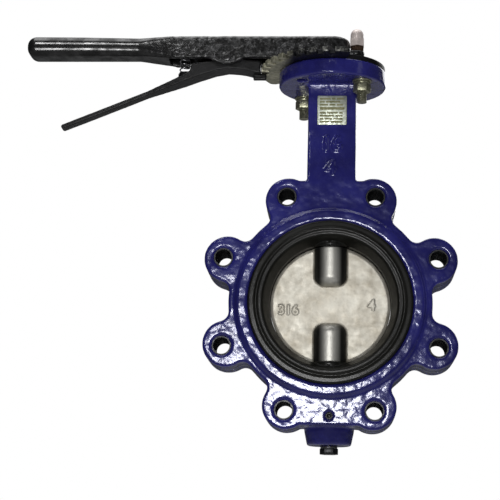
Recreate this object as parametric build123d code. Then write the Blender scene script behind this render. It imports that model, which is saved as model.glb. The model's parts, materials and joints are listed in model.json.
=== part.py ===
from build123d import *

import os
from math import cos, radians, sin, sqrt

# Lug-type butterfly valve, nominal size 4 inch (DN 100), closed, with a notched squeeze lever.
#
# Millimetres. The origin is where the pipe bore's axis (Y) crosses the stem's axis (Z, up).
# The front is the -Y side. The lever points along -X when the disc is closed, and opens the
# valve by a quarter turn about +Z. Each function below makes one sub-part in its place.

# Pipe connection
bolt_circle = 190.5  # pitch circle of the tapped lugs
lug_count = 8
lug_hole_d = 15.875  # 5/8 inch thread, drawn as a plain hole at the thread's major diameter
lug_hole_chamfer = 1.0
lug_r = 19.0
lug_inset = 3.75  # the lug's round end sits a little inside the bolt circle
lug_fillet = 8.0
lug_width = 43.4  # face to face across the lugs

# Body ring
ring_inset = 12.25  # from the bolt circle down to the ring
rim_wall = 9.6  # raised rim that frames the liner
rim_width = 48.4
rim_round = 1.6
web_half = 35.0  # half width of the webs above and below the ring
web_top = 101.5
web_bottom = 100.0
web_round = 3.0

# Neck and top flange
neck_width = 40.0
neck_depth = 33.0
neck_taper_top = 148.0  # the neck thickens from here down to the lugs' width
neck_fillet = 4.0
flange_r = 45.2
flange_t = 13.5
flange_top = 200.5
flange_round = 1.2
flange_bolt_circle = 70.0
flange_hole_d = 9.0
flange_hole_count = 4
flange_recess_depth = 4.0

# Round foot boss under the body
foot_top_r = 20.0
foot_end_r = 17.6
foot_from = 103.0
foot_end = 115.0
foot_round = 1.5

# Liner; the radii of its sections are steps outward from its bore
liner_bore_r = 50.0
liner_throat_half = 12.0
liner_wall = 7.0
liner_mouth_step = 4.5
liner_lip_step = 1.3
liner_lip_depth = 1.6
face_to_face = 52.0
liner_flange_step = 17.4
liner_flange_back = 19.3
liner_bead_step = 10.5
liner_bead_half = 1.3
liner_bead_height = 0.8
liner_pad_wall = 3.3
liner_pad_height = 2.0
liner_edge = 1.0
liner_fit = 0.1

# Disc
disc_clear = 0.3
disc_half_middle = 4.6
disc_half_edge = 3.0
disc_edge_band = 2.5
hub_wall = 6.7
hub_inner = 15.5
hub_round = 8.0
hub_pad_clear = 0.3

# Stems
stem_d = 16.0
running = 0.05  # radial clearance of a turning shaft
square = 11.0
square_fit = 0.1
square_corner = 0.3  # how far a square end's corners are turned down below the stem
socket_shoulder = 30.0
socket_floor = 19.0
socket_end_gap = 0.3
stem_square_drop = 3.0  # the square starts this far below the notch plate's top
stem_rise = 16.5  # the stem's end above the notch plate's top
lower_stem_end = 104.5
lower_bore_end = 105.0
groove_width = 6.6
groove_depth = 2.0

# Stem bearings and retention
bush_wall = 1.95
bush_fit = 0.05
neck_bush_start = 3.0
neck_bush_length = 24.0
top_bush_length = 24.0
seal_length = 5.0
thrust_washer_wall = 5.0
thrust_washer_t = 1.2
recess_gap = 1.0
clip_wall = 3.0
clip_t = 1.0
clip_groove_depth = 0.7
clip_opening = 6.0
axial_gap = 0.2

# Notch plate
plate_t = 4.0
plate_r = 44.5
plate_bore_gap = 4.0
sector_r = 61.0
sector_from = 150.0
sector_to = 285.0
sector_round = 5.0
notch_first = 180.0
notch_pitch = 10.0
notch_count = 10
notch_width = 5.0
notch_depth = 6.5

# Lever; heights are above the notch plate's top
lever_gap = 0.5  # between the lever's hub and the notch plate
lever_half = 14.7
hub_step = 0.3  # the hub's foot is this much inside the arm's round end
lever_rise = 26.4
lever_side_rise = 6.4
lever_wall = 4.7
ceiling_rise = 22.0
channel_from = -140.0
channel_to = -18.0
arm_from = -136.0
arm_full_from = -120.0  # the arm's top reaches its full height here
arm_slope = 0.3
grip_end = -263.0
grip_height = 17.8
grip_width = 26.5
grip_rise = 18.3
grip_taper = 0.4
grip_corner = 8.6
grip_end_round = 7.6
waist_x = -166.0
waist_height = 16.4
waist_width = 25.2
waist_rise = 17.6
waist_corner = 7.8
arm_corner = 3.5
head_round = 5.0
ear_half = 15.0
ear_drop = 5.0
tail_x = 20.6
tail_half = 6.3
tail_rise = 15.7
tail_t = 4.2

# Lever screw, recessed in the hub
lever_screw_d = 6.0
lever_screw_head_d = 10.0
lever_screw_head_h = 6.0
lever_screw_length = 20.0
lever_screw_socket = 5.0
lever_screw_socket_depth = 3.0
lever_screw_gap = 0.4
lever_washer_r = 7.0
lever_washer_t = 1.6
washer_seat_gap = 0.3
thread_fit = 0.05
thread_runout = 2.0

# Trigger; heights are above the notch plate's top
pivot_x = -90.0
pivot_rise = 7.5
pin_d = 6.0
pin_head_r = 4.2
pin_head_t = 1.0
trigger_half = 9.4
blade_half = 5.0
blade_wide_x = -125.0
blade_narrow_x = -160.0
trigger_boss_r = 6.5
trigger_tip_x = -229.6
trigger_tip_rise = -52.0
trigger_tip_r = 1.75
trigger_top_line = (
    (-230.26, -50.38),
    (-224.5, -48.1),
    (-199.0, -37.7),
    (-156.4, -20.2),
    (-134.0, -10.2),
    (-122.0, -3.9),
    (-119.5, 3.0),
    (-97.0, 6.0),
)
trigger_under_line = (
    (-67.6, -4.6),
    (-74.0, -2.9),
    (-80.0, -1.9),
    (-89.5, -1.4),
    (-100.0, -3.4),
    (-113.5, -7.9),
    (-156.2, -23.8),
    (-198.7, -41.4),
    (-225.0, -52.0),
    (-228.94, -53.62),
)
pawl_rise = 5.0
pawl_under = -5.4
tooth_half = 2.1
tooth_depth = 4.9
tooth_gap = 0.3  # under the notch plate
tooth_back = 6.0
tooth_reach = 4.5  # how far the tooth reaches in under the notch plate's rim
pawl_gap = 0.6  # between the pawl's shoulder and the plate's rim

# Trigger spring
spring_x = -127.0
spring_r = 4.6
spring_wire = 1.2
spring_seat_rise = -3.9
spring_seat_r = 5.2
spring_seat_depth = 6.0

# Fasteners
m8_d = 8.0
m8_nut_af = 13.0
m8_nut_h = 6.7
m8_flat_washer_r = 8.0
m8_flat_washer_t = 1.6
m8_spring_washer_r = 6.9
m8_spring_washer_t = 2.1
m8_sunk_head_r = 7.6
m8_sunk_fit = 0.1
m8_sunk_land = 0.5
m8_socket_depth = 2.4
m8_head_af = 13.0
m8_head_h = 4.8
plate_bolt_drop = 19.4  # the bolt's end below the flange
foot_bolt_length = 9.0
washer_fit = 0.2
washer_split = 1.6
set_screw_d = 6.0
set_screw_z = -92.2
set_screw_sink = 2.5
set_screw_gap = 0.4
set_screw_socket = 3.0
set_screw_socket_depth = 3.0

# Lever lock on the tail
lock_d = 6.0
lock_nut_af = 11.0
lock_nut_h = 4.6
cap_af = 11.6
cap_hex_h = 6.6
cap_dome_r = 5.6
cap_h = 15.8
lock_gap = 0.3

# Nameplate on the neck
name_width = 24.6
name_height = 25.3
name_drop = 23.55  # its middle below the flange
name_t = 0.8
name_corner = 1.0

margin = 1.0  # how far a cut runs past the metal it cuts

# Worked out from the values above
pitch_r = bolt_circle / 2
lug_centre_r = pitch_r - lug_inset
ring_r = pitch_r - ring_inset
body_bore_r = liner_bore_r + liner_wall
liner_mouth_r = liner_bore_r + liner_mouth_step
liner_lip_r = liner_mouth_r + liner_lip_step
liner_bead_r = liner_bore_r + liner_bead_step
liner_flange_r = liner_bore_r + liner_flange_step
liner_pad_z = liner_bore_r - liner_pad_height
rim_r = liner_flange_r + rim_wall
stem_r = stem_d / 2
hub_r = stem_r + hub_wall
liner_pad_r = hub_r + liner_pad_wall
housing_r = stem_r + running + bush_wall
thrust_washer_r = stem_r + thrust_washer_wall
flange_recess_r = thrust_washer_r + recess_gap
clip_r = stem_r + clip_wall
plate_bore_r = stem_r + plate_bore_gap
disc_r = liner_bore_r - disc_clear
disc_flat = liner_pad_z - hub_pad_clear
neck_bush_from = body_bore_r + neck_bush_start
flange_bottom = flange_top - flange_t
plate_top = flange_top + plate_t
thrust_floor = flange_top - flange_recess_depth
clip_from = thrust_floor + thrust_washer_t + axial_gap
plate_hole_r = flange_bolt_circle / 2
plate_bolt_angles = (135.0, 315.0)
nut_z = flange_bottom - m8_flat_washer_t - m8_spring_washer_t - m8_nut_h
stem_top = plate_top + stem_rise
stem_square_from = plate_top - stem_square_drop
lever_top = plate_top + lever_rise
lever_side_bottom = plate_top + lever_side_rise
lever_ceiling = plate_top + ceiling_rise
lever_counterbore = stem_top + lever_gap
pivot_z = plate_top + pivot_rise
spring_seat_z = plate_top + spring_seat_rise
tail_top = plate_top + tail_rise
cap_from = tail_top + lock_nut_h
cap_top = cap_from + cap_h


def along_y(radius, y_from, y_to):
    """A cylinder about the Y axis."""
    rod = Cylinder(radius, y_to - y_from, rotation=(90, 0, 0))
    return Pos(0, (y_from + y_to) / 2, 0) * rod


def along_z(radius, z_from, z_to):
    """A cylinder about the Z axis."""
    return Pos(0, 0, (z_from + z_to) / 2) * Cylinder(radius, z_to - z_from)


def tube_z(outer, inner, z_from, z_to):
    return along_z(outer, z_from, z_to) - along_z(inner, z_from - margin, z_to + margin)


def block(x_from, x_to, y_from, y_to, z_from, z_to):
    size = (x_to - x_from, y_to - y_from, z_to - z_from)
    middle = ((x_from + x_to) / 2, (y_from + y_to) / 2, (z_from + z_to) / 2)
    return Pos(*middle) * Box(*size)


def hex_z(across_flats, z_from, z_to, turn=0):
    """A hexagonal prism about the Z axis, with two of its corners on the X axis unless turned."""
    corner_r = across_flats / sqrt(3)
    face = RegularPolygon(corner_r, 6, rotation=turn)
    return Pos(0, 0, z_from) * extrude(face, z_to - z_from)


def around(radius, angle):
    return Pos(radius * cos(radians(angle)), radius * sin(radians(angle)), 0)


def lug_angles():
    step = 360 / lug_count
    return [step / 2 + step * i for i in range(lug_count)]


def flange_hole_angles():
    step = 360 / flange_hole_count
    return [step / 2 + step * i for i in range(flange_hole_count)]


def body_outline():
    """The ring with its lugs and webs, seen along the bore."""
    outline = Circle(ring_r)
    for angle in lug_angles():
        outline += around(lug_centre_r, angle) * Circle(lug_r)
    seam = Vector(ring_r, 0, 0)
    corners = [
        v
        for v in outline.vertices()
        if abs(Vector(v).length - ring_r) < 0.01 and (Vector(v) - seam).length > 1
    ]
    outline = fillet(corners, lug_fillet)
    web_height = web_top + web_bottom
    web = RectangleRounded(2 * web_half, web_height, web_round)
    web = Pos(0, (web_top - web_bottom) / 2) * web
    return outline + web


def neck():
    half, foot = neck_depth / 2, lug_width / 2
    side = Polyline(
        (foot, ring_r),
        (foot, web_top),
        (half, neck_taper_top),
        (half, flange_bottom + margin),
        (-half, flange_bottom + margin),
        (-half, neck_taper_top),
        (-foot, web_top),
        (-foot, ring_r),
        close=True,
    )
    return extrude(Plane.YZ * make_face(side), neck_width / 2, both=True)


def neck_corners():
    """Fillet strips where the neck's sides meet the web and the flange."""
    strips = []
    for side in (-1, 1):
        for base, up in ((web_top, 1), (flange_bottom, -1)):
            x, r = side * neck_width / 2, neck_fillet
            square_bar = Rectangle(r, r, align=(Align.MIN, Align.MIN))
            strip = square_bar - Pos(r, r) * Circle(r)
            if side < 0:
                strip = mirror(strip, Plane.YZ)
            if up < 0:
                strip = mirror(strip, Plane.XZ)
            strip = Pos(x, base) * strip
            strips.append(extrude(Plane.XZ * strip, neck_depth / 2 - margin, both=True))
    return strips


def foot_boss():
    """The round boss under the body, tapering a little downward."""
    side = Polyline(
        (0, -ring_r),
        (foot_top_r, -ring_r),
        (foot_top_r, -foot_from),
        (foot_end_r, -foot_end),
        (0, -foot_end),
        close=True,
    )
    boss = revolve(Plane.XZ * make_face(side), Axis.Z)
    return fillet(boss.faces().sort_by(Axis.Z)[0].edges(), foot_round)


def make_valve_body():
    body = extrude(Plane.XZ * body_outline(), lug_width / 2, both=True)
    rim = along_y(rim_r, -rim_width / 2, rim_width / 2)
    body += fillet(rim.edges(), rim_round)
    body += neck()
    body += neck_corners()
    body += foot_boss()
    top = along_z(flange_r, flange_bottom, flange_top)
    body += fillet(top.edges(), flange_round)
    body -= along_y(body_bore_r, -rim_width, rim_width)
    for side in (-1, 1):
        near, far = side * liner_flange_back, side * rim_width
        body -= along_y(liner_flange_r, min(near, far), max(near, far))
    body -= along_z(housing_r, 0, flange_top + margin)
    body -= along_z(flange_recess_r, thrust_floor, flange_top + margin)
    body -= along_z(housing_r, -lower_bore_end, 0)
    body -= along_z(m8_d / 2 + thread_fit, -foot_end - margin, -lower_bore_end + margin)
    for angle in flange_hole_angles():
        hole = along_z(flange_hole_d / 2, flange_bottom - margin, flange_top + margin)
        body -= around(plate_hole_r, angle) * hole
    for angle in lug_angles():
        body -= lug_hole(angle)
    screw_hole = along_y(set_screw_d / 2 + thread_fit, -lug_width, 0)
    body -= Pos(0, 0, set_screw_z) * screw_hole
    return body


def lug_hole(angle):
    """A lug's through hole with a chamfered mouth at each face."""
    r, half, c = lug_hole_d / 2, lug_width / 2, lug_hole_chamfer
    section = Polyline(
        (0, -half - margin),
        (r + c + margin, -half - margin),
        (r, -half + c),
        (r, half - c),
        (r + c + margin, half + margin),
        (0, half + margin),
        close=True,
    )
    hole = revolve(make_face(section), Axis.Y)
    return Pos(pitch_r * cos(radians(angle)), 0, pitch_r * sin(radians(angle))) * hole


def make_seat_liner():
    """Rubber liner: a thick sleeve with a flange folded over each face of the body."""
    face = face_to_face / 2
    outer = liner_flange_r - liner_fit
    core = body_bore_r - liner_fit
    back = liner_flange_back + liner_fit
    bead = liner_bead_half
    right = [
        Line((liner_bore_r, 0), (liner_bore_r, liner_throat_half)),
        Line((liner_bore_r, liner_throat_half), (liner_mouth_r, face - liner_lip_depth)),
        Line((liner_mouth_r, face - liner_lip_depth), (liner_lip_r, face)),
        Line((liner_lip_r, face), (liner_bead_r - bead, face)),
        ThreePointArc(
            (liner_bead_r - bead, face),
            (liner_bead_r, face + liner_bead_height),
            (liner_bead_r + bead, face),
        ),
        Line((liner_bead_r + bead, face), (outer - liner_edge, face)),
        Line((outer - liner_edge, face), (outer, face - liner_edge)),
        Line((outer, face - liner_edge), (outer, back)),
        Line((outer, back), (core, back)),
        Line((core, back), (core, 0)),
        Line((core, 0), (liner_bore_r, 0)),
    ]
    section = make_face(right)
    half = revolve(section, Axis.Y)
    liner = half + mirror(half, Plane.XZ)
    pads = along_z(liner_pad_r, liner_pad_z, liner_mouth_r)
    pads += along_z(liner_pad_r, -liner_mouth_r, -liner_pad_z)
    liner += pads & along_y(liner_bore_r + margin, -liner_pad_r, liner_pad_r)
    return liner - along_z(stem_r + running, -face_to_face * 2, face_to_face * 2)


def make_disc():
    """The disc: a lens-shaped plate with two round hubs, trimmed to a sphere that clears the liner."""
    section = Polyline(
        (0, -disc_half_middle),
        (disc_r - disc_edge_band, -disc_half_middle),
        (disc_r + margin, -disc_half_edge),
        (disc_r + margin, disc_half_edge),
        (disc_r - disc_edge_band, disc_half_middle),
        (0, disc_half_middle),
        close=True,
    )
    disc = revolve(make_face(section), Axis.Y)
    for up in (-1, 1):
        hub = along_z(hub_r, hub_inner, disc_r)
        hub = fillet(hub.faces().sort_by(Axis.Z)[0].edges(), hub_round)
        socket = along_z(stem_r + running, socket_shoulder, disc_r + margin)
        socket += square_bar(square / 2 + square_fit, socket_floor, socket_shoulder + margin)
        if up < 0:
            hub, socket = mirror(hub, Plane.XY), mirror(socket, Plane.XY)
        disc = disc + hub - socket
    disc = disc & Sphere(disc_r)
    return disc & block(-disc_r, disc_r, -disc_r, disc_r, -disc_flat, disc_flat)


def square_bar(half, z_from, z_to):
    return block(-half, half, -half, half, z_from, z_to)


def square_end(z_from, z_to):
    """A square drive end with its corners turned down to just under the stem's diameter."""
    return square_bar(square / 2, z_from, z_to) & along_z(stem_r - square_corner, z_from, z_to)


def make_upper_stem():
    end = socket_floor + socket_end_gap
    stem = along_z(stem_r, socket_shoulder + axial_gap, stem_square_from)
    stem += square_end(end, socket_shoulder + margin)
    stem += square_end(stem_square_from - margin, stem_top)
    groove_r = stem_r - clip_groove_depth
    stem -= tube_z(stem_r + margin, groove_r, clip_from, clip_from + clip_t)
    depth = lever_screw_length + thread_runout
    return stem - along_z(lever_screw_d / 2 + thread_fit, stem_top - depth, stem_top + margin)


def make_lower_stem():
    end = socket_floor + socket_end_gap
    stem = along_z(stem_r, -lower_stem_end, -socket_shoulder - axial_gap)
    stem += square_end(-socket_shoulder - margin, -end)
    half = groove_width / 2
    groove_r = stem_r - groove_depth
    return stem - tube_z(stem_r + margin, groove_r, set_screw_z - half, set_screw_z + half)


def bush(z_from, z_to):
    return tube_z(housing_r - bush_fit, stem_r + running, z_from, z_to)


def make_upper_stem_bush():
    return bush(thrust_floor - top_bush_length, thrust_floor)


def make_stem_seal():
    top = thrust_floor - top_bush_length
    return bush(top - seal_length, top)


def make_neck_stem_bush():
    return bush(neck_bush_from, neck_bush_from + neck_bush_length)


def make_lower_stem_bush():
    return bush(-neck_bush_from - neck_bush_length, -neck_bush_from)


def make_stem_thrust_washer():
    return tube_z(thrust_washer_r, stem_r + running, thrust_floor, thrust_floor + thrust_washer_t)


def make_stem_circlip():
    inner = stem_r - clip_groove_depth
    clip = tube_z(clip_r, inner, clip_from, clip_from + clip_t)
    half = clip_opening / 2
    gap = block(0, clip_r + margin, -half, half, thrust_floor, flange_top)
    return clip - gap


def make_notch_plate():
    """A round plate on the flange with a toothed sector on the lever's side."""
    span = sector_to - sector_from
    points = [(0, 0)]
    for i in range(4):
        a = radians(sector_from + span * i / 3)
        points.append((2 * sector_r * cos(a), 2 * sector_r * sin(a)))
    sector = Circle(sector_r) & make_face(Polyline(*points, close=True))
    tips = [v for v in sector.vertices() if Vector(v).length > sector_r - 0.01]
    ends = [v for v in tips if min_turn(v) < 1]
    outline = Circle(plate_r) + fillet(ends, sector_round)
    for i in range(notch_count):
        angle = notch_first + notch_pitch * i
        cutter = Rectangle(notch_depth + margin, notch_width)
        middle = sector_r + (margin - notch_depth) / 2
        outline -= Rot(0, 0, angle) * Pos(middle, 0) * cutter
    plate = Pos(0, 0, flange_top) * extrude(outline, plate_t)
    plate -= along_z(plate_bore_r, flange_top - margin, plate_top + margin)
    for angle in flange_hole_angles():
        hole = along_z(flange_hole_d / 2, flange_top - margin, plate_top + margin)
        plate -= around(plate_hole_r, angle) * hole
    for angle in plate_bolt_angles:
        plate -= around(plate_hole_r, angle) * sunk_head(m8_sunk_fit)
    return plate


def min_turn(vertex):
    """Angle in degrees from a point to the nearer end of the notch plate's sector."""
    p = Vector(vertex)
    angle = Vector(1, 0, 0).get_signed_angle(p, Vector(0, 0, 1)) % 360
    return min(abs(angle - sector_from), abs(angle - sector_to))


def sunk_head(clearance):
    """A countersunk head's cone, its top flush with the notch plate's top."""
    depth = plate_t - m8_sunk_land
    small, large = m8_d / 2 + clearance, m8_sunk_head_r + clearance
    cone = Cone(small, large, depth)
    return Pos(0, 0, plate_top - depth / 2) * cone


def make_plate_bolts():
    bolts = []
    for angle in plate_bolt_angles:
        bolt = along_z(m8_d / 2, flange_bottom - plate_bolt_drop, plate_top - plate_t / 2)
        bolt += sunk_head(0)
        bolt -= hex_z(lever_screw_socket, plate_top - m8_socket_depth, plate_top + margin)
        bolts.append(around(plate_hole_r, angle) * bolt)
    return Compound(children=bolts)


def at_plate_bolts(piece):
    return Compound(children=[around(plate_hole_r, angle) * piece for angle in plate_bolt_angles])


def make_plate_flat_washers():
    inner = m8_d / 2 + washer_fit
    top = flange_bottom
    return at_plate_bolts(tube_z(m8_flat_washer_r, inner, top - m8_flat_washer_t, top))


def split_washer(z_from, z_to):
    ring = tube_z(m8_spring_washer_r, m8_d / 2 + washer_fit, z_from, z_to)
    half = washer_split / 2
    far = m8_spring_washer_r + margin
    return ring - block(0, far, -half, half, z_from - margin, z_to + margin)


def make_plate_spring_washers():
    top = flange_bottom - m8_flat_washer_t
    return at_plate_bolts(split_washer(top - m8_spring_washer_t, top))


def make_plate_nuts():
    nut = hex_z(m8_nut_af, nut_z, nut_z + m8_nut_h)
    nut -= along_z(m8_d / 2 + thread_fit, nut_z - margin, nut_z + m8_nut_h + margin)
    return at_plate_bolts(nut)


def make_foot_spring_washer():
    return split_washer(-foot_end - m8_spring_washer_t, -foot_end)


def make_foot_bolt():
    seat = -foot_end - m8_spring_washer_t
    bolt = hex_z(m8_head_af, seat - m8_head_h, seat)
    return bolt + along_z(m8_d / 2, seat - margin, -foot_end + foot_bolt_length)


def make_stem_set_screw():
    outer = -lug_width / 2 + set_screw_sink
    inner = -(stem_r - groove_depth + set_screw_gap)
    screw = along_y(set_screw_d / 2, outer, inner)
    floor = Plane.XZ.offset(-outer - set_screw_socket_depth)
    key = floor * RegularPolygon(set_screw_socket / sqrt(3), 6)
    screw -= extrude(key, set_screw_socket_depth + margin)
    return Pos(0, 0, set_screw_z) * screw


def make_nameplate():
    face = -neck_depth / 2
    plate = RectangleRounded(name_width, name_height, name_corner)
    solid = extrude(Plane.XZ.offset(-face) * plate, name_t)
    return Pos(0, 0, flange_bottom - name_drop) * solid


def section_x(x, width, height, z, corner):
    """A rounded rectangle across the lever at x."""
    where = Plane(origin=(x, 0, z), x_dir=(0, 1, 0), z_dir=(1, 0, 0))
    return where * RectangleRounded(width, height, corner)


def make_grip():
    """The rounded grip, a slimmer waist, and the blend into the arm's section."""
    grip_z = plate_top + grip_rise
    waist_z = plate_top + waist_rise
    arm_height = lever_top - lever_side_bottom - arm_slope
    arm_z = lever_side_bottom + arm_height / 2
    straight_to = (grip_end + waist_x) / 2
    end_height = grip_height - grip_taper
    end_z = grip_z - grip_taper / 2
    bar = loft(
        [
            section_x(grip_end, grip_width, grip_height, grip_z, grip_corner),
            section_x(straight_to, grip_width, end_height, end_z, grip_corner),
        ],
        ruled=True,
    )
    bar = fillet(bar.faces().sort_by(Axis.X)[0].edges(), grip_end_round)
    waist = loft(
        [
            section_x(straight_to, grip_width, end_height, end_z, grip_corner),
            section_x(waist_x, waist_width, waist_height, waist_z, waist_corner),
            section_x(arm_from, 2 * lever_half, arm_height, arm_z, arm_corner),
        ],
        ruled=True,
    )
    return bar + waist


def make_arm():
    """The arm, from the grip's blend to the round head, with an ear round the pivot pin."""
    bottom = lever_side_bottom
    outline = [
        Polyline(
            (pivot_x - ear_half, bottom),
            (arm_from, bottom),
            (arm_from, lever_top - arm_slope),
            (arm_full_from, lever_top),
            (lever_half, lever_top),
            (lever_half, bottom),
            (pivot_x + ear_half, bottom),
        ),
        ThreePointArc(
            (pivot_x + ear_half, bottom),
            (pivot_x, bottom - ear_drop),
            (pivot_x - ear_half, bottom),
        ),
    ]
    side = extrude(Plane.XZ * make_face(outline), lever_half, both=True)
    plan = Pos(arm_from / 2, 0) * Rectangle(-arm_from, 2 * lever_half) + Circle(lever_half)
    return side & (Pos(0, 0, plate_top) * extrude(plan, lever_top))


def make_lever():
    """One casting: channel-section arm, round hub, tail for the lock screw, and grip."""
    lever = make_arm()
    top_edges = [e for e in lever.edges() if abs(e.center().Z - lever_top) < 0.01]
    lever = fillet([e for e in top_edges if e.center().X > arm_full_from + 1], head_round)
    foot = along_z(lever_half - hub_step, plate_top + lever_gap, lever_ceiling)
    tail = Pos(tail_x / 2, 0) * Rectangle(tail_x, 2 * tail_half) + Pos(tail_x, 0) * Circle(tail_half)
    foot += Pos(0, 0, tail_top - tail_t) * extrude(tail, tail_t)
    lever += foot
    lever += make_grip()
    inner = lever_half - lever_wall
    lever -= block(channel_from, channel_to, -inner, inner, plate_top - ear_drop, lever_ceiling)
    lever -= square_bar(square / 2 + square_fit, plate_top, stem_top + lever_gap)
    lever -= along_z(lever_screw_d / 2 + lever_screw_gap, stem_top, lever_top)
    lever -= along_z(lever_washer_r + washer_seat_gap, lever_counterbore, lever_top + margin)
    hole = along_y(pin_d / 2 + thread_fit, -lever_half - margin, lever_half + margin)
    lever -= Pos(pivot_x, 0, pivot_z) * hole
    return lever - Pos(tail_x, 0, 0) * along_z(lock_d / 2 + thread_fit, plate_top, tail_top + margin)


def make_lever_screw_washer():
    z = lever_counterbore
    return tube_z(lever_washer_r, lever_screw_d / 2 + washer_fit, z, z + lever_washer_t)


def make_lever_screw():
    seat = lever_counterbore + lever_washer_t
    screw = along_z(lever_screw_head_d / 2, seat, seat + lever_screw_head_h)
    screw += along_z(lever_screw_d / 2, seat - lever_screw_length, seat + margin)
    top = seat + lever_screw_head_h
    return screw - hex_z(lever_screw_socket, top - lever_screw_socket_depth, top + margin)


def make_lock_screw():
    """The lever's lock screw, drawn backed off the notch plate by a small gap."""
    screw = along_z(lock_d / 2, plate_top + lock_gap, cap_from + cap_hex_h)
    return Pos(tail_x, 0, 0) * screw


def make_lock_jam_nut():
    nut = hex_z(lock_nut_af, tail_top, cap_from, 30)
    nut -= along_z(lock_d / 2 + thread_fit, tail_top - margin, cap_from + margin)
    return Pos(tail_x, 0, 0) * nut


def make_lock_cap_nut():
    shoulder = cap_top - cap_dome_r
    cap = hex_z(cap_af, cap_from, cap_from + cap_hex_h, 30)
    cap += along_z(cap_dome_r, cap_from + margin, shoulder)
    cap += Pos(0, 0, shoulder) * Sphere(cap_dome_r)
    cap -= along_z(lock_d / 2 + thread_fit, cap_from - margin, cap_from + cap_hex_h + margin)
    return Pos(tail_x, 0, 0) * cap


def make_trigger():
    """The squeeze trigger: a long thin blade, a boss on the pivot pin, and the pawl's tooth."""
    shoulder = -sector_r - pawl_gap
    pawl = (
        (pivot_x, pivot_rise),
        (shoulder, pawl_rise),
        (shoulder, pawl_under),
    )
    outline = Polyline(*trigger_top_line, *pawl, *trigger_under_line, close=True)
    side = extrude(Plane.XZ * make_face(outline), trigger_half, both=True)
    end = Cylinder(trigger_tip_r, 2 * trigger_half, rotation=(90, 0, 0))
    side += Pos(trigger_tip_x, 0, trigger_tip_rise) * end
    plan = Polyline(
        (trigger_tip_x - trigger_tip_r, -blade_half),
        (blade_narrow_x, -blade_half),
        (blade_wide_x, -trigger_half),
        (shoulder, -trigger_half),
        (shoulder, trigger_half),
        (blade_wide_x, trigger_half),
        (blade_narrow_x, blade_half),
        (trigger_tip_x - trigger_tip_r, blade_half),
        close=True,
    )
    tall = 2 * abs(trigger_tip_rise)
    trigger = Pos(0, 0, plate_top) * (side & extrude(make_face(plan), tall, both=True))
    boss = Cylinder(trigger_boss_r, 2 * trigger_half, rotation=(90, 0, 0))
    trigger += Pos(pivot_x, 0, pivot_z) * boss
    tooth_top = flange_top - tooth_gap
    back, front = shoulder - tooth_back, shoulder + tooth_reach + pawl_gap
    trigger += block(back, front, -tooth_half, tooth_half, tooth_top - tooth_depth, tooth_top)
    seat = along_z(spring_seat_r, spring_seat_z - spring_seat_depth, spring_seat_z)
    trigger += Pos(spring_x, 0, 0) * seat
    hole = along_y(pin_d / 2 + running, -trigger_half - margin, trigger_half + margin)
    return trigger - Pos(pivot_x, 0, pivot_z) * hole


def make_trigger_pin():
    pin = along_y(pin_d / 2, -lever_half - pin_head_t, lever_half + pin_head_t)
    for side in (-1, 1):
        near, far = side * lever_half, side * (lever_half + pin_head_t)
        pin += along_y(pin_head_r, min(near, far), max(near, far))
    return Pos(pivot_x, 0, pivot_z) * pin


def make_trigger_spring():
    """The space the coil spring takes, as a sleeve between its two seats."""
    inner = spring_r - spring_wire
    sleeve = tube_z(spring_r, inner, spring_seat_z, lever_ceiling)
    return Pos(spring_x, 0, 0) * sleeve


PIECES = {
    "valve_body": make_valve_body,
    "seat_liner": make_seat_liner,
    "disc": make_disc,
    "upper_stem": make_upper_stem,
    "lower_stem": make_lower_stem,
    "upper_stem_bush": make_upper_stem_bush,
    "stem_seal": make_stem_seal,
    "neck_stem_bush": make_neck_stem_bush,
    "lower_stem_bush": make_lower_stem_bush,
    "stem_thrust_washer": make_stem_thrust_washer,
    "stem_circlip": make_stem_circlip,
    "stem_set_screw": make_stem_set_screw,
    "foot_bolt": make_foot_bolt,
    "foot_spring_washer": make_foot_spring_washer,
    "notch_plate": make_notch_plate,
    "plate_bolts": make_plate_bolts,
    "plate_nuts": make_plate_nuts,
    "plate_spring_washers": make_plate_spring_washers,
    "plate_flat_washers": make_plate_flat_washers,
    "nameplate": make_nameplate,
    "lever": make_lever,
    "lever_screw": make_lever_screw,
    "lever_screw_washer": make_lever_screw_washer,
    "lock_screw": make_lock_screw,
    "lock_jam_nut": make_lock_jam_nut,
    "lock_cap_nut": make_lock_cap_nut,
    "trigger": make_trigger,
    "trigger_pin": make_trigger_pin,
    "trigger_spring": make_trigger_spring,
}

os.makedirs("parts", exist_ok=True)
for name, make in PIECES.items():
    export_step(make(), "parts/" + name + ".step")
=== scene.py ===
import json
import math

import bmesh
import bpy
from mathutils import Matrix, Vector, noise


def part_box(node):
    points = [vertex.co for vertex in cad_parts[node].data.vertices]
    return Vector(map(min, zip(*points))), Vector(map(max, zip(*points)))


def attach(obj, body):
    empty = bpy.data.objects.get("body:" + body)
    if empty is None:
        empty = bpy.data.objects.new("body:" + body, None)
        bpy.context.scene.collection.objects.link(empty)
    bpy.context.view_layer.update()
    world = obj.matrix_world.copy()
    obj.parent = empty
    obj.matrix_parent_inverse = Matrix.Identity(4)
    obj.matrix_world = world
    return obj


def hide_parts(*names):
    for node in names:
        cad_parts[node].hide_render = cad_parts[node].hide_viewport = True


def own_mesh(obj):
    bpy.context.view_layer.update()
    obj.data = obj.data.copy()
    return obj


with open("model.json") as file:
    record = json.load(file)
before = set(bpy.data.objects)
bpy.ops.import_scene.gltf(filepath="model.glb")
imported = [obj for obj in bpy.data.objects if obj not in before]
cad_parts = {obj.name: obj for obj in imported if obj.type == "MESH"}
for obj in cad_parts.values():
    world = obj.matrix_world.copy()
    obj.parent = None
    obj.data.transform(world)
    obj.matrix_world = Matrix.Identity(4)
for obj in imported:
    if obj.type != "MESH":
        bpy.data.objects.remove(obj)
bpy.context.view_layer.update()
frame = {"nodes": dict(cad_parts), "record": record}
nodes = frame["nodes"]
MM = 0.001
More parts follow.
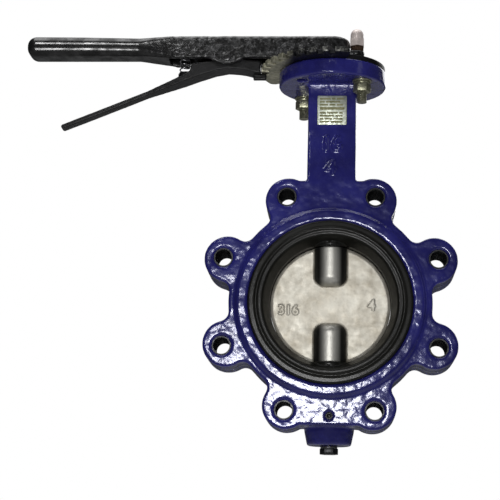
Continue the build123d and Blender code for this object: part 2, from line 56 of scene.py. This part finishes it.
WAIST_X, ARM_X = -0.168, -0.128  # the lever's smooth grip ends and its rough arm begins


# ---------------------------------------------------------------- node helpers


class Surface:
    """A Principled material with short calls for the nodes that drive it."""

    def __init__(self, name, color, roughness, metallic=0.0):
        self.material = bpy.data.materials.new(name)
        self.material.use_nodes = True
        self.tree = self.material.node_tree
        self.shader = self.tree.nodes["Principled BSDF"]
        self.shader.inputs["Base Color"].default_value = (*color, 1)
        self.shader.inputs["Roughness"].default_value = roughness
        self.shader.inputs["Metallic"].default_value = metallic
        self.place = self.tree.nodes.new("ShaderNodeTexCoord").outputs["Object"]

    def link(self, output, socket):
        self.tree.links.new(output, socket)

    def axes(self):
        """The object's own X, Y and Z."""
        node = self.tree.nodes.new("ShaderNodeSeparateXYZ")
        self.link(self.place, node.inputs[0])
        return node.outputs["X"], node.outputs["Y"], node.outputs["Z"]

    def reach(self, first, second):
        """The distance out from an axis, from the two coordinates across it."""
        squares = [self.math("MULTIPLY", c, c) for c in (first, second)]
        return self.math("SQRT", self.math("ADD", *squares))

    def stretch(self, scale):
        """The object's own coordinates, stretched along each axis."""
        node = self.tree.nodes.new("ShaderNodeMapping")
        node.inputs["Scale"].default_value = scale
        self.link(self.place, node.inputs["Vector"])
        return node.outputs["Vector"]

    def noise(self, size, detail=3.0, rough=0.5, where=None):
        """Noise whose lumps are about size millimetres across."""
        node = self.tree.nodes.new("ShaderNodeTexNoise")
        node.inputs["Scale"].default_value = 1 / (size * MM)
        node.inputs["Detail"].default_value = detail
        node.inputs["Roughness"].default_value = rough
        self.link(where or self.place, node.inputs["Vector"])
        return node.outputs["Fac"]

    def cells(self, size):
        """The distance to the nearest of points about size millimetres apart."""
        node = self.tree.nodes.new("ShaderNodeTexVoronoi")
        node.inputs["Scale"].default_value = 1 / (size * MM)
        self.link(self.place, node.inputs["Vector"])
        return node.outputs["Distance"]

    def ramp(self, value, *stops):
        """Stops are (position, colour) or (position, grey)."""
        node = self.tree.nodes.new("ShaderNodeValToRGB")
        elements = node.color_ramp.elements
        while len(elements) < len(stops):
            elements.new(0.5)
        for element, (position, color) in zip(elements, stops):
            element.position = position
            color = (color,) * 3 if isinstance(color, (int, float)) else color
            element.color = (*color, 1)
        self.link(value, node.inputs["Fac"])
        return node.outputs["Color"]

    def mix(self, factor, first, second):
        """first where factor is 0, second where it is 1; each is a colour or an output."""
        node = self.tree.nodes.new("ShaderNodeMix")
        node.data_type = "RGBA"
        self.link(factor, node.inputs["Factor"])
        for socket, value in ((node.inputs[6], first), (node.inputs[7], second)):
            if isinstance(value, tuple):
                socket.default_value = (*value, 1)
            else:
                self.link(value, socket)
        return node.outputs[2]

    def math(self, operation, first, second=0.0):
        node = self.tree.nodes.new("ShaderNodeMath")
        node.operation = operation
        for socket, value in zip(node.inputs, (first, second)):
            if isinstance(value, (int, float)):
                socket.default_value = value
            else:
                self.link(value, socket)
        return node.outputs[0]

    def bump(self, *layers):
        """Each layer is (height, depth in millimetres)."""
        normal = None
        for height, depth in layers:
            node = self.tree.nodes.new("ShaderNodeBump")
            node.inputs["Distance"].default_value = depth * MM
            self.link(height, node.inputs["Height"])
            if normal:
                self.link(normal, node.inputs["Normal"])
            normal = node.outputs["Normal"]
        self.link(normal, self.shader.inputs["Normal"])
        self.link(normal, self.shader.inputs["Coat Normal"])

    def drive(self, output, name):
        self.link(output, self.shader.inputs[name])

    def set(self, **values):
        for name, value in values.items():
            self.shader.inputs[name.replace("_", " ")].default_value = value


# ------------------------------------------------------------------- materials


def blue_paint():
    """Thick gloss paint over sand casting; the ring round the seat was faced, so it ripples less."""
    ring_r, lugs_r, scale = 0.066, 0.070, 10
    s = Surface("blue_paint", (0.016, 0.015, 0.14), 0.3)
    tone = s.ramp(s.noise(28), (0.35, (0.012, 0.011, 0.10)), (0.7, (0.024, 0.024, 0.19)))
    s.drive(tone, "Base Color")
    s.drive(s.ramp(s.noise(6, 4), (0.3, 0.14), (0.75, 0.34)), "Roughness")
    x, _, z = s.axes()
    out = s.math("MULTIPLY", s.reach(x, z), scale)
    sand = s.ramp(out, (ring_r * scale, 0.10), (lugs_r * scale, 1.0))
    ripples = s.math("MULTIPLY", s.noise(8, 1.5), sand)
    grit = s.math("MULTIPLY", s.noise(2.2, 2), sand)
    s.bump((ripples, 0.5), (grit, 0.035))
    s.set(Coat_Weight=0.65, Coat_Roughness=0.13, Specular_IOR_Level=0.25)
    s.shader.inputs["Specular Tint"].default_value = (0.55, 0.58, 1.0, 1)
    return s.material


def black_rubber():
    """Moulded rubber with a faint wax bloom."""
    s = Surface("black_rubber", (0.006, 0.006, 0.005), 0.45)
    bloom = s.ramp(s.noise(18), (0.3, (0.005, 0.005, 0.004)), (0.75, (0.010, 0.010, 0.008)))
    s.drive(bloom, "Base Color")
    s.drive(s.ramp(s.noise(9, 4), (0.3, 0.32), (0.7, 0.5)), "Roughness")
    s.bump((s.noise(0.5, 2), 0.02))
    s.set(Specular_IOR_Level=0.12, Coat_Weight=0.14, Coat_Roughness=0.16)
    return s.material


def cast_stainless():
    """Bead-blasted plate with cloudy stains; the hubs are turned, with painted shade darkening their
    sides.
    """
    hub_r = 0.015
    s = Surface("cast_stainless", (0.6, 0.57, 0.5), 0.5, 0.75)
    x, y, _ = s.axes()
    proud = s.math("MULTIPLY", s.math("ABSOLUTE", y), 1 / hub_r)
    hub = s.ramp(proud, (0.33, 0.0), (0.45, 1.0))
    aside = s.math("MULTIPLY", s.math("ABSOLUTE", x), 1 / hub_r)
    # painted shade: the hubs' colour fades to near-black away from their middle line
    painted_shade_hub_sides = s.ramp(aside, (0.3, (0.5, 0.49, 0.45)), (0.62, (0.03, 0.03, 0.028)))
    stains = s.ramp(s.noise(13, 6, 0.6), (0.3, (0.46, 0.42, 0.34)), (0.7, (0.83, 0.80, 0.71)))
    s.drive(s.mix(hub, stains, painted_shade_hub_sides), "Base Color")
    blasted = s.ramp(s.noise(6, 4), (0.3, 0.5), (0.75, 0.62))
    s.drive(s.mix(hub, blasted, (0.44, 0.44, 0.44)), "Roughness")
    s.bump((s.noise(2.4, 3), 0.03), (s.noise(0.35, 2), 0.012))
    return s.material


def turned_steel(name, color, roughness, metallic=1.0):
    """Turned or drawn steel: fine rings across the axis, faint stains."""
    s = Surface(name, color, roughness, metallic)
    darker = tuple(c * 0.72 for c in color)
    s.drive(s.ramp(s.noise(4, 5), (0.3, darker), (0.7, color)), "Base Color")
    lines = s.noise(1.0, 2, where=s.stretch((1, 1, 9)))
    s.drive(s.ramp(lines, (0.3, roughness * 0.75), (0.7, roughness * 1.3)), "Roughness")
    s.bump((lines, 0.012))
    return s.material


def plated_steel(name, color, roughness, pitch=0):
    """Zinc plate with a cloudy chromate film and a few dull spots, threaded where pitch is given."""
    s = Surface(name, color, roughness, 0.85)
    tint = (color[0] * 0.55, color[1] * 0.58, color[2] * 0.5)
    s.drive(s.ramp(s.noise(3.2, 6, 0.65), (0.32, tint), (0.7, color)), "Base Color")
    s.drive(s.ramp(s.noise(2, 4), (0.3, roughness * 0.7), (0.7, roughness * 1.4)), "Roughness")
    layers = [(s.noise(0.5, 3), 0.02)]
    if pitch:
        thread = s.tree.nodes.new("ShaderNodeTexWave")
        thread.bands_direction = "Z"
        thread.inputs["Scale"].default_value = 2 * math.pi / (20 * pitch * MM)
        s.link(s.place, thread.inputs["Vector"])
        layers.append((thread.outputs["Fac"], 0.45))
    s.bump(*layers)
    return s.material


def notched_plate():
    """Olive zinc under the lever, worn zinc on the tooth tips, and near-black painted shade elsewhere,
    by the flange.
    """
    span = 0.065
    s = Surface("olive_zinc", (0.34, 0.34, 0.25), 0.42, 0.7)
    x, y, _ = s.axes()
    tips = s.ramp(s.math("MULTIPLY", s.reach(x, y), 1 / span), (0.905, 0.0), (0.93, 1.0))
    left = s.ramp(s.math("MULTIPLY", x, -1 / span), (0.48, 0.0), (0.62, 1.0))
    outside_painted_shade = s.math("MAXIMUM", tips, left)
    zinc = s.ramp(s.noise(3.2, 6, 0.65), (0.32, (0.16, 0.16, 0.11)), (0.7, (0.44, 0.42, 0.32)))
    worn = s.ramp(s.noise(2.6, 6, 0.7), (0.44, (0.012, 0.012, 0.013)), (0.66, (0.22, 0.22, 0.20)))
    # painted shade: near-black over the plate except at its tooth tips and its left end
    s.drive(s.mix(outside_painted_shade, (0.010, 0.010, 0.012), s.mix(left, worn, zinc)), "Base Color")
    s.drive(s.ramp(s.noise(2, 4), (0.3, 0.35), (0.7, 0.6)), "Roughness")
    s.bump((s.noise(0.5, 3), 0.02))
    return s.material


def ptfe():
    """White bush plastic."""
    s = Surface("bush_plastic", (0.8, 0.79, 0.75), 0.45)
    s.drive(s.ramp(s.noise(4), (0.3, (0.72, 0.71, 0.66)), (0.7, (0.84, 0.83, 0.79))), "Base Color")
    s.bump((s.noise(0.6, 2), 0.01))
    return s.material


def black_casting_paint():
    """Thin black paint on the rough sand-cast arm; smoother along the rubbed grip."""
    s = Surface("black_lever_paint", (0.005, 0.005, 0.005), 0.35)
    arm = s.math("MULTIPLY_ADD", s.axes()[0], 1 / (ARM_X - WAIST_X))
    arm.node.inputs[2].default_value = -WAIST_X / (ARM_X - WAIST_X)
    arm.node.use_clamp = True
    grain = s.math("MULTIPLY", s.noise(6, 3, 0.55), arm)
    pits = s.math("MULTIPLY", s.cells(5), arm)
    s.bump((s.noise(14, 2), 0.12), (grain, 0.9), (pits, 0.2))
    s.drive(s.ramp(s.noise(3, 4), (0.3, 0.26), (0.72, 0.48)), "Roughness")
    dust = s.math("MULTIPLY", s.noise(4.5, 6, 0.7), arm)
    dusted = s.ramp(dust, (0.45, (0.005, 0.005, 0.005)), (0.72, (0.04, 0.04, 0.042)))
    s.drive(dusted, "Base Color")
    s.drive(s.mix(arm, (0.12, 0.12, 0.12), (0.26, 0.26, 0.26)), "Coat Roughness")
    rubbed = s.ramp(s.noise(11, 3), (0.40, 0.15), (0.60, 0.62))
    speckled = s.ramp(s.noise(4.5, 4, 0.6), (0.42, 0.08), (0.62, 0.9))
    s.drive(s.mix(arm, rubbed, speckled), "Coat Weight")
    s.set(Specular_IOR_Level=0.12)
    return s.material


def black_trigger_paint():
    """Thin satin paint on the pressed trigger."""
    s = Surface("black_trigger_paint", (0.014, 0.014, 0.015), 0.35)
    tone = s.ramp(s.noise(9, 4), (0.35, (0.004, 0.004, 0.004)), (0.7, (0.010, 0.010, 0.011)))
    s.drive(tone, "Base Color")
    s.drive(s.ramp(s.noise(3, 4), (0.3, 0.3), (0.72, 0.5)), "Roughness")
    s.bump((s.noise(3.5, 3), 0.12), (s.noise(0.8, 2), 0.03))
    s.set(Specular_IOR_Level=0.2)
    return s.material


MATERIALS = {
    "blue_paint": blue_paint(),
    "black_rubber": black_rubber(),
    "cast_stainless": cast_stainless(),
    "stem_steel": turned_steel("stem_steel", (0.58, 0.57, 0.55), 0.3),
    "bush_plastic": ptfe(),
    "spring_steel": turned_steel("spring_steel", (0.22, 0.22, 0.23), 0.3),
    "black_oxide": plated_steel("black_oxide", (0.03, 0.03, 0.033), 0.35),
    "olive_zinc": notched_plate(),
    "yellow_zinc": plated_steel("yellow_zinc", (0.36, 0.35, 0.26), 0.36),
    "nameplate_foil": plated_steel("nameplate_foil", (0.62, 0.65, 0.58), 0.45),
    "m8_thread": plated_steel("m8_thread", (0.30, 0.29, 0.22), 0.36, 1.25),
    "nameplate_ink": plated_steel("nameplate_ink", (0.30, 0.29, 0.17), 0.5),
    "black_lever_paint": black_casting_paint(),
    "black_trigger_paint": black_trigger_paint(),
    "brown_steel": plated_steel("brown_steel", (0.12, 0.07, 0.05), 0.4),
    "pale_steel": turned_steel("pale_steel", (0.86, 0.76, 0.72), 0.45, 0.35),
}
SLOT_OF = {s["node"]: s["material_slot"] for s in frame["record"]["subparts"]}
BODY_OF = {n: b for b, names in frame["record"]["behaviour"]["bodies"].items() for n in names}


# ---------------------------------------------------------------- mesh helpers

SHARP_DEG = 35


def finish_piece(obj, slot, body, *replaced):
    """Gives a new piece its material, its body and the CAD nodes it stands for."""
    obj.data.materials.clear()
    obj.data.materials.append(MATERIALS[slot])
    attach(obj, body)
    if replaced:
        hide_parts(*replaced)
    return obj


def new_object(name, mesh):
    obj = bpy.data.objects.new(name, mesh)
    bpy.context.scene.collection.objects.link(obj)
    return obj


def from_bmesh(name, bm):
    mesh = bpy.data.meshes.new(name)
    bm.to_mesh(mesh)
    bm.free()
    return new_object(name, mesh)


def apply_modifiers(obj):
    """Replaces the object's mesh with the result of its modifiers."""
    graph = bpy.context.evaluated_depsgraph_get()
    mesh = bpy.data.meshes.new_from_object(obj.evaluated_get(graph))
    obj.modifiers.clear()
    old, obj.data = obj.data, mesh
    bpy.data.meshes.remove(old)
    return obj


def smooth(obj, angle=SHARP_DEG):
    """Smooth shading, with edges sharper than angle degrees left crisp."""
    obj.data.polygons.foreach_set("use_smooth", [True] * len(obj.data.polygons))
    obj.data.set_sharp_from_angle(angle=math.radians(angle))
    return obj


def join_into(obj, *extras):
    """Adds the meshes of extras to obj and removes them."""
    bm = bmesh.new()
    bm.from_mesh(obj.data)
    for extra in extras:
        copy = extra.data.copy()
        copy.transform(extra.matrix_world)
        bm.from_mesh(copy)
        bpy.data.meshes.remove(copy)
        bpy.data.objects.remove(extra)
    bm.to_mesh(obj.data)
    bm.free()
    return obj


def casting(name, node, voxel, passes, shape, extras=()):
    """A node's solid as a casting: remeshed, its edges rounded and its skin moved out by
    shape(point, normal) millimetres, inside the solid's own box."""
    obj = new_object(name, nodes[node].data.copy())
    join_into(obj, *extras)
    remesh = obj.modifiers.new("voxels", "REMESH")
    remesh.mode = "VOXEL"
    remesh.voxel_size = voxel * MM
    soften = obj.modifiers.new("soften", "SMOOTH")
    soften.factor = 0.5
    soften.iterations = passes
    apply_modifiers(obj)
    low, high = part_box(node)
    mesh = obj.data
    moved = []
    for v in mesh.vertices:
        spot = v.co + v.normal * shape(v.co, v.normal) * MM
        moved.extend(min(max(c, a), b) for c, a, b in zip(spot, low, high))
    mesh.vertices.foreach_set("co", moved)
    mesh.update()
    obj.data.polygons.foreach_set("use_smooth", [True] * len(obj.data.polygons))
    return finish_piece(obj, SLOT_OF[node], BODY_OF[node], node)


def machined(name, node, bevel):
    """A node's solid with small bevels on its sharp edges."""
    obj = new_object(name, nodes[node].data.copy())
    bm = bmesh.new()
    bm.from_mesh(obj.data)
    bmesh.ops.remove_doubles(bm, verts=bm.verts, dist=1e-6)
    bmesh.ops.dissolve_limit(
        bm, angle_limit=math.radians(0.5), verts=bm.verts, edges=bm.edges, delimit={"NORMAL"}
    )
    bm.to_mesh(obj.data)
    bm.free()
    edge = obj.modifiers.new("edges", "BEVEL")
    edge.width = bevel * MM
    edge.segments = 2
    edge.limit_method = "ANGLE"
    edge.angle_limit = math.radians(SHARP_DEG)
    edge.use_clamp_overlap = True
    apply_modifiers(obj)
    smooth(obj)
    return finish_piece(obj, SLOT_OF[node], BODY_OF[node], node)


def lathe(name, profile, segments):
    """A closed ring turned about Y from (radius, y) points in millimetres."""
    bm = bmesh.new()
    rings = []
    for i in range(segments):
        a = 2 * math.pi * i / segments
        c, s = math.cos(a), math.sin(a)
        ring = []
        for r, y in profile:
            ring.append(bm.verts.new(Vector((r * c, y, r * s)) * MM))
        rings.append(ring)
    count = len(profile)
    for i in range(segments):
        a, b = rings[i], rings[(i + 1) % segments]
        for j in range(count):
            k = (j + 1) % count
            bm.faces.new((a[j], a[k], b[k], b[j]))
    bmesh.ops.recalc_face_normals(bm, faces=bm.faces)
    return from_bmesh(name, bm)


# ---------------------------------------------------------------------- pieces


def lumps(point, size, seed):
    """Noise between about -1 and 1, its lumps size millimetres across."""
    return noise.noise(point / (size * MM) + Vector((seed, seed, seed)))


def body_skin(point, normal):
    """Sand-cast skin under thick paint: low waves, small lumps and a faint parting line."""
    seam_to_x = 0.1
    waves = 0.12 * (lumps(point, 11, 3.1) - 0.6) + 0.012 * (lumps(point, 3.6, 7.7) - 0.6)
    seam = 0.0
    if abs(normal.y) < 0.35 and abs(point.x) < seam_to_x:
        seam = 0.22 * math.exp(-((point.y / (0.7 * MM)) ** 2))
    return waves + seam + 0.18


def raised_text(text, height, centre, depth, lean=0.0):
    """Raised characters on a front face, their backs sunk into it. Height is a capital's."""
    capital = 0.70  # a capital's share of the font's size
    curve = bpy.data.curves.new("raised", "FONT")
    curve.body = text
    curve.size = height / capital * MM
    curve.align_x = "CENTER"
    curve.align_y = "CENTER"
    curve.extrude = depth * MM
    curve.offset = 0.3 * MM
    obj = new_object("raised", curve)
    obj.matrix_world = Matrix.Translation(Vector(centre) * MM) @ Matrix.Rotation(
        math.radians(90) - lean, 4, "X"
    )
    bpy.context.view_layer.update()
    graph = bpy.context.evaluated_depsgraph_get()
    mesh = bpy.data.meshes.new_from_object(obj.evaluated_get(graph))
    mesh.transform(obj.matrix_world)
    bpy.data.objects.remove(obj)
    return new_object("raised_mesh", mesh)


def valve_body():
    """The body casting; the neck's face leans back from the lugs' face to the nameplate's."""
    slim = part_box("nameplate")[1].y / MM
    thick, base, top = -21.7, 101.5, 148.0
    lean = math.atan((slim - thick) / (top - base))
    marks = []
    for text, height, x, z in (("16", 12.5, 0, 133.2), ("4", 12.0, -0.5, 112.5)):
        face = thick + (slim - thick) * (z - base) / (top - base)
        marks.append(raised_text(text, height, (x, face, z), 1.5, lean))
    return casting("body_casting", "valve_body", 0.85, 9, body_skin, marks)


def nameplate_print():
    """Printed rows of bars on the nameplate, with no words in them."""
    low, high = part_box("nameplate")
    proud, ink_t, gap = 0.02, 0.06, 1.1
    face = low.y / MM - proud
    left, top = low.x / MM + 2.0, high.z / MM - 2.0
    # each row is how far down it starts, its height and the widths of its bars
    rows = (
        (0.0, 1.5, (9, 3, 6)),
        (2.6, 1.5, (4, 12)),
        (5.2, 1.5, (7, 5, 5)),
        (7.9, 2.4, (20.6,)),
        (12.2, 1.5, (5, 9, 3)),
        (14.8, 1.5, (12, 6)),
        (17.4, 1.5, (3, 6, 8)),
        (20.0, 1.5, (8, 10)),
    )
    bm = bmesh.new()
    for drop, height, bars in rows:
        x, z = left, top - drop
        for width in bars:
            corners = [(x, z), (x + width, z), (x + width, z - height), (x, z - height)]
            front = [bm.verts.new(Vector((a, face, b)) * MM) for a, b in corners]
            back = [bm.verts.new(Vector((a, face + ink_t, b)) * MM) for a, b in corners]
            bm.faces.new(front)
            bm.faces.new(back[::-1])
            for i in range(4):
                j = (i + 1) % 4
                bm.faces.new((front[i], back[i], back[j], front[j]))
            x += width + gap
    bmesh.ops.recalc_face_normals(bm, faces=bm.faces)
    ink = finish_piece(from_bmesh("nameplate_print", bm), "olive_zinc", "valve_body")
    ink.material_slots[0].material = MATERIALS["nameplate_ink"]


def lug_threads():
    """The 5/8-11 thread in each lug: grooves inside the plain hole."""
    lug = frame["record"]["mounts"][0]["dims"]
    pitch_r, hole_r = lug["pcd_mm"] / 2, lug["hole_r_mm"] - 0.05
    crest_r, root_r = hole_r - 1.1, hole_r - 0.1
    pitch, half = 25.4 / 11, 20.2
    step = 360 / lug["count"]
    profile = []
    y = -half
    while y < half - pitch:
        profile += [(crest_r, y), (crest_r, y + 0.15 * pitch), (root_r, y + 0.55 * pitch)]
        y += pitch
    profile += [(crest_r, y), (hole_r, y), (hole_r, -half)]
    for i in range(lug["count"]):
        a = math.radians(step * (i + 0.5))
        thread = lathe(f"lug_thread_{i + 1}", profile, 40)
        shift = Vector((pitch_r * math.cos(a), 0, pitch_r * math.sin(a))) * MM
        thread.data.transform(Matrix.Translation(shift))
        finish_piece(smooth(thread), "black_oxide", "valve_body")


def disc():
    """The cast disc with its raised marks."""

    def skin(point, normal):
        return 0.05 * (lumps(point, 5, 1.3) - 0.6) + 0.03 * (lumps(point, 1.8, 5.9) - 0.6)

    marks = [
        raised_text("316", 8.0, (-34.5, -4.7, -4.5), 0.45),
        raised_text("4", 9.0, (34.0, -4.7, 0.0), 0.45),
    ]
    return casting("disc_casting", "disc", 0.5, 3, skin, marks)


def lever():
    """The cast lever: a smooth grip with faint flats along it, then a rough arm."""

    def skin(point, normal):
        rough = min(1.0, max(0.0, (point.x - WAIST_X) / (ARM_X - WAIST_X)))
        waves = 0.35 * (lumps(point, 6, 2.2) - 0.6) + 0.22 * (lumps(point, 2.4, 8.8) - 0.6)
        facing = math.atan2(normal.z, abs(normal.y))
        facets = 0.05 * (1 + math.cos(12 * (facing - math.radians(6))))
        return waves * rough * 0.6 + 0.3 - facets * (1 - rough)

    return casting("lever_casting", "lever", 0.75, 5, skin)


def trigger():
    """The trigger with its edges rounded."""

    def skin(point, normal):
        return 0.10 * (lumps(point, 5, 4.4) - 0.6) + 0.2

    return casting("trigger_blade", "trigger", 0.6, 5, skin)


def seat_liner():
    """The moulded liner, its lips and bead rounded."""

    def skin(point, normal):
        return 0.02 * (lumps(point, 12, 6.3) - 0.6) + 0.06

    return casting("liner_rubber", "seat_liner", 0.6, 3, skin)


def trigger_spring():
    """A coil spring of round wire between the trigger's seat and the lever's channel."""
    low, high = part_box("trigger_spring")
    wire_r = 0.6
    cx, top, bottom = (low.x + high.x) / 2 / MM, high.z / MM, low.z / MM
    r = (high.x - low.x) / 2 / MM - wire_r
    turns, steps, sides = 8.0, 28, 8
    flat = 0.8  # turns that lie flat at each end
    flat_share = 0.04  # of the height, climbed by every turn alike
    bm = bmesh.new()
    rings = []
    total = int(turns * steps)
    for i in range(total + 1):
        t = i / total
        a = 2 * math.pi * turns * t
        climb = min(1.0, max(0.0, (t * turns - flat) / (turns - 2 * flat)))
        rise = flat_share * t + (1 - flat_share) * climb
        z = bottom + wire_r + (top - bottom - 2 * wire_r) * rise
        centre = Vector((cx + r * math.cos(a), r * math.sin(a), z))
        out = Vector((math.cos(a), math.sin(a), 0))
        ring = []
        for j in range(sides):
            b = 2 * math.pi * j / sides
            spot = centre + out * wire_r * math.cos(b) + Vector((0, 0, wire_r * math.sin(b)))
            ring.append(bm.verts.new(spot * MM))
        rings.append(ring)
    for a, b in zip(rings, rings[1:]):
        for j in range(sides):
            k = (j + 1) % sides
            bm.faces.new((a[j], a[k], b[k], b[j]))
    bm.faces.new(rings[0][::-1])
    bm.faces.new(rings[-1])
    bmesh.ops.recalc_face_normals(bm, faces=bm.faces)
    obj = smooth(from_bmesh("spring_coil", bm), 60)
    finish_piece(obj, "spring_steel", "drive", "trigger_spring")
    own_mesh(obj)


# ------------------------------------------------------------------------ build

valve_body()
nameplate_print()
lug_threads()
disc()
lever()
trigger()
seat_liner()
trigger_spring()
machined("notch_plate_piece", "notch_plate", 0.3)
machined("plate_nuts_piece", "plate_nuts", 0.3)
threaded = machined("plate_bolts_piece", "plate_bolts", 0.3)
threaded.material_slots[0].material = MATERIALS["m8_thread"]
for name in ("plate_flat_washers", "plate_spring_washers"):
    machined(name + "_piece", name, 0.3)
for name in ("foot_bolt", "foot_spring_washer", "stem_set_screw", "nameplate", "trigger_pin"):
    machined(name + "_piece", name, 0.2)
for name in ("lever_screw", "lever_screw_washer", "lock_screw", "lock_jam_nut", "lock_cap_nut"):
    machined(name + "_piece", name, 0.25)

for name, obj in nodes.items():
    if obj.data.materials:
        obj.material_slots[0].material = MATERIALS[SLOT_OF[name]]
    else:
        obj.data.materials.append(MATERIALS[SLOT_OF[name]])
    smooth(obj)


# ------------------------------------------------------------- camera and stage


def make_camera():
    """Eye level is below the valve, a little to its right, looking up at it."""
    yaw, pitch, roll = (math.radians(a) for a in (-3.78, 11.32, 1.21))
    ahead = Vector((math.sin(yaw) * math.cos(pitch), math.cos(yaw) * math.cos(pitch), math.sin(pitch)))
    level = Vector((math.cos(yaw), -math.sin(yaw), 0))
    upright = level.cross(ahead)
    right = level * math.cos(roll) + upright * math.sin(roll)
    up = upright * math.cos(roll) - level * math.sin(roll)
    data = bpy.data.cameras.new("camera")
    data.sensor_width = 36
    data.lens = 106.47
    data.clip_start = 0.05
    data.clip_end = 30
    camera = bpy.data.objects.new("camera", data)
    turn = Matrix((right, up, -ahead)).transposed().to_4x4()
    camera.matrix_world = Matrix.Translation(Vector((0.0124, -1.2102, -0.1959))) @ turn
    bpy.context.scene.collection.objects.link(camera)
    bpy.context.scene.camera = camera


def area_light(name, spot, target, size, watts, spread=180):
    """A rectangular softbox at spot that faces target; spread is its beam in degrees."""
    data = bpy.data.lights.new(name, "AREA")
    data.shape = "RECTANGLE"
    data.size, data.size_y = size
    data.energy = watts
    data.spread = math.radians(spread)
    light = bpy.data.objects.new(name, data)
    light.location = spot
    light.rotation_mode = "QUATERNION"
    light.rotation_quaternion = (Vector(target) - Vector(spot)).to_track_quat("-Z", "Y")
    bpy.context.scene.collection.objects.link(light)


def make_stage():
    """A pale floor, a white room seen by the camera alone, and the softboxes."""
    bm = bmesh.new()
    bmesh.ops.create_circle(bm, cap_ends=True, radius=6.0, segments=96)
    floor = from_bmesh("floor", bm)
    floor.location = (0, 0, -1.0)
    pale = Surface("floor_pale", (0.86, 0.86, 0.86), 0.7)
    pale.drive(pale.ramp(pale.noise(900), (0.4, 0.84), (0.6, 0.88)), "Base Color")
    floor.data.materials.append(pale.material)
    world = bpy.data.worlds.new("studio")
    bpy.context.scene.world = world
    world.use_nodes = True
    tree = world.node_tree
    back = tree.nodes["Background"]
    path = tree.nodes.new("ShaderNodeLightPath")
    room = tree.nodes.new("ShaderNodeMix")
    room.data_type = "RGBA"
    room.inputs[6].default_value = (0.05, 0.052, 0.056, 1)
    room.inputs[7].default_value = (1, 1, 1, 1)
    tree.links.new(path.outputs["Is Camera Ray"], room.inputs["Factor"])
    tree.links.new(room.outputs[2], back.inputs["Color"])
    area_light("flash", (-0.065, -1.27, 0.03), (0, 0, 0.03), (0.20, 0.12), 4.5)
    area_light("flash_left", (-0.20, -1.25, 0.13), (0, 0, 0.0), (0.09, 0.09), 1.1)
    area_light("top_box", (-0.3, -0.4, 1.3), (0, 0, 0.05), (1.0, 0.7), 3)
    area_light("side_box", (1.5, -0.9, 0.5), (0, 0, 0.05), (0.5, 1.2), 1.0)
    area_light("ceiling", (0.0, 0.6, 3.2), (0, 0.6, 0), (3.0, 3.0), 75)
    area_light("back_box", (0.7, 1.7, 0.9), (0, 0, 0.05), (1.2, 1.0), 9)
    area_light("high_strip", (-0.44, -1.03, 0.85), (-0.22, 0, 0.22), (0.34, 0.11), 0.06, 20)
    area_light("low_strip", (-0.43, -1.05, -0.36), (-0.22, 0, 0.22), (0.34, 0.11), 0.06, 20)


make_camera()
make_stage()
bpy.context.scene.view_settings.view_transform = "Standard"
